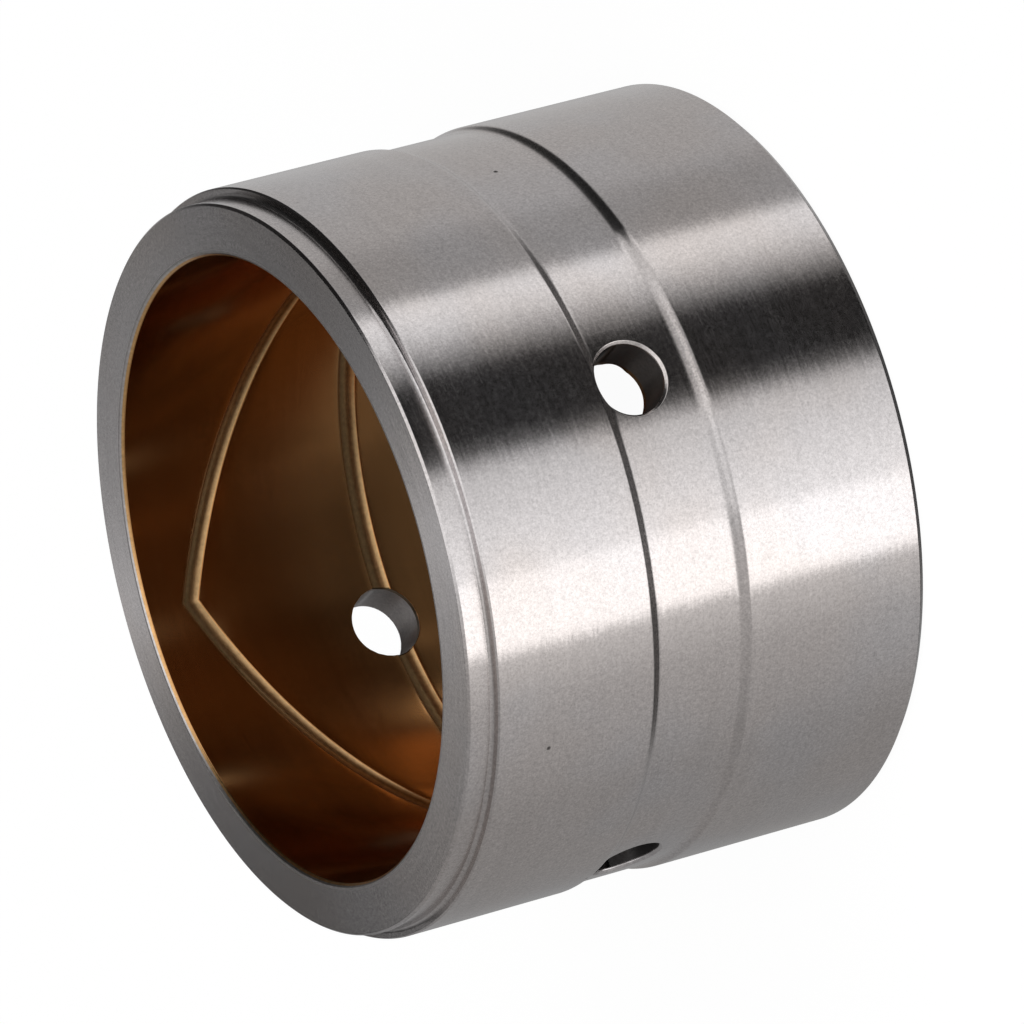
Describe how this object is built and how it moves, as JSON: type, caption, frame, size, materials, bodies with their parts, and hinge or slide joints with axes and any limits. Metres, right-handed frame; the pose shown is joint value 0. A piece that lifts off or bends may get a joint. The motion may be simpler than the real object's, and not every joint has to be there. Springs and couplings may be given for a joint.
{
  "type": "lined bushing",
  "caption": "Round steel bush with a bronze lined bore, a shallow belt groove with radial oil holes outside, and slanting oil grooves that meet in a V inside.",
  "frame": {"origin": "on the axis of the bore, at the plain back end that it stands on", "axes": "+Z along the bore axis, towards the stepped lead end; -Y and -X through the two oil holes where the drill went in"},
  "size_m": [0.096, 0.096, 0.065],
  "materials": {
    "steel": "fine turned and lightly polished round the outside, turned on the end faces",
    "bronze": "dull brown bronze, smooth in the bore, brighter in the grooves and at the mouth chamfer"
  },
  "bodies": {
    "root": {"steel_shell": "steel", "bronze_lining": "bronze"}
  },
  "joints": []
}
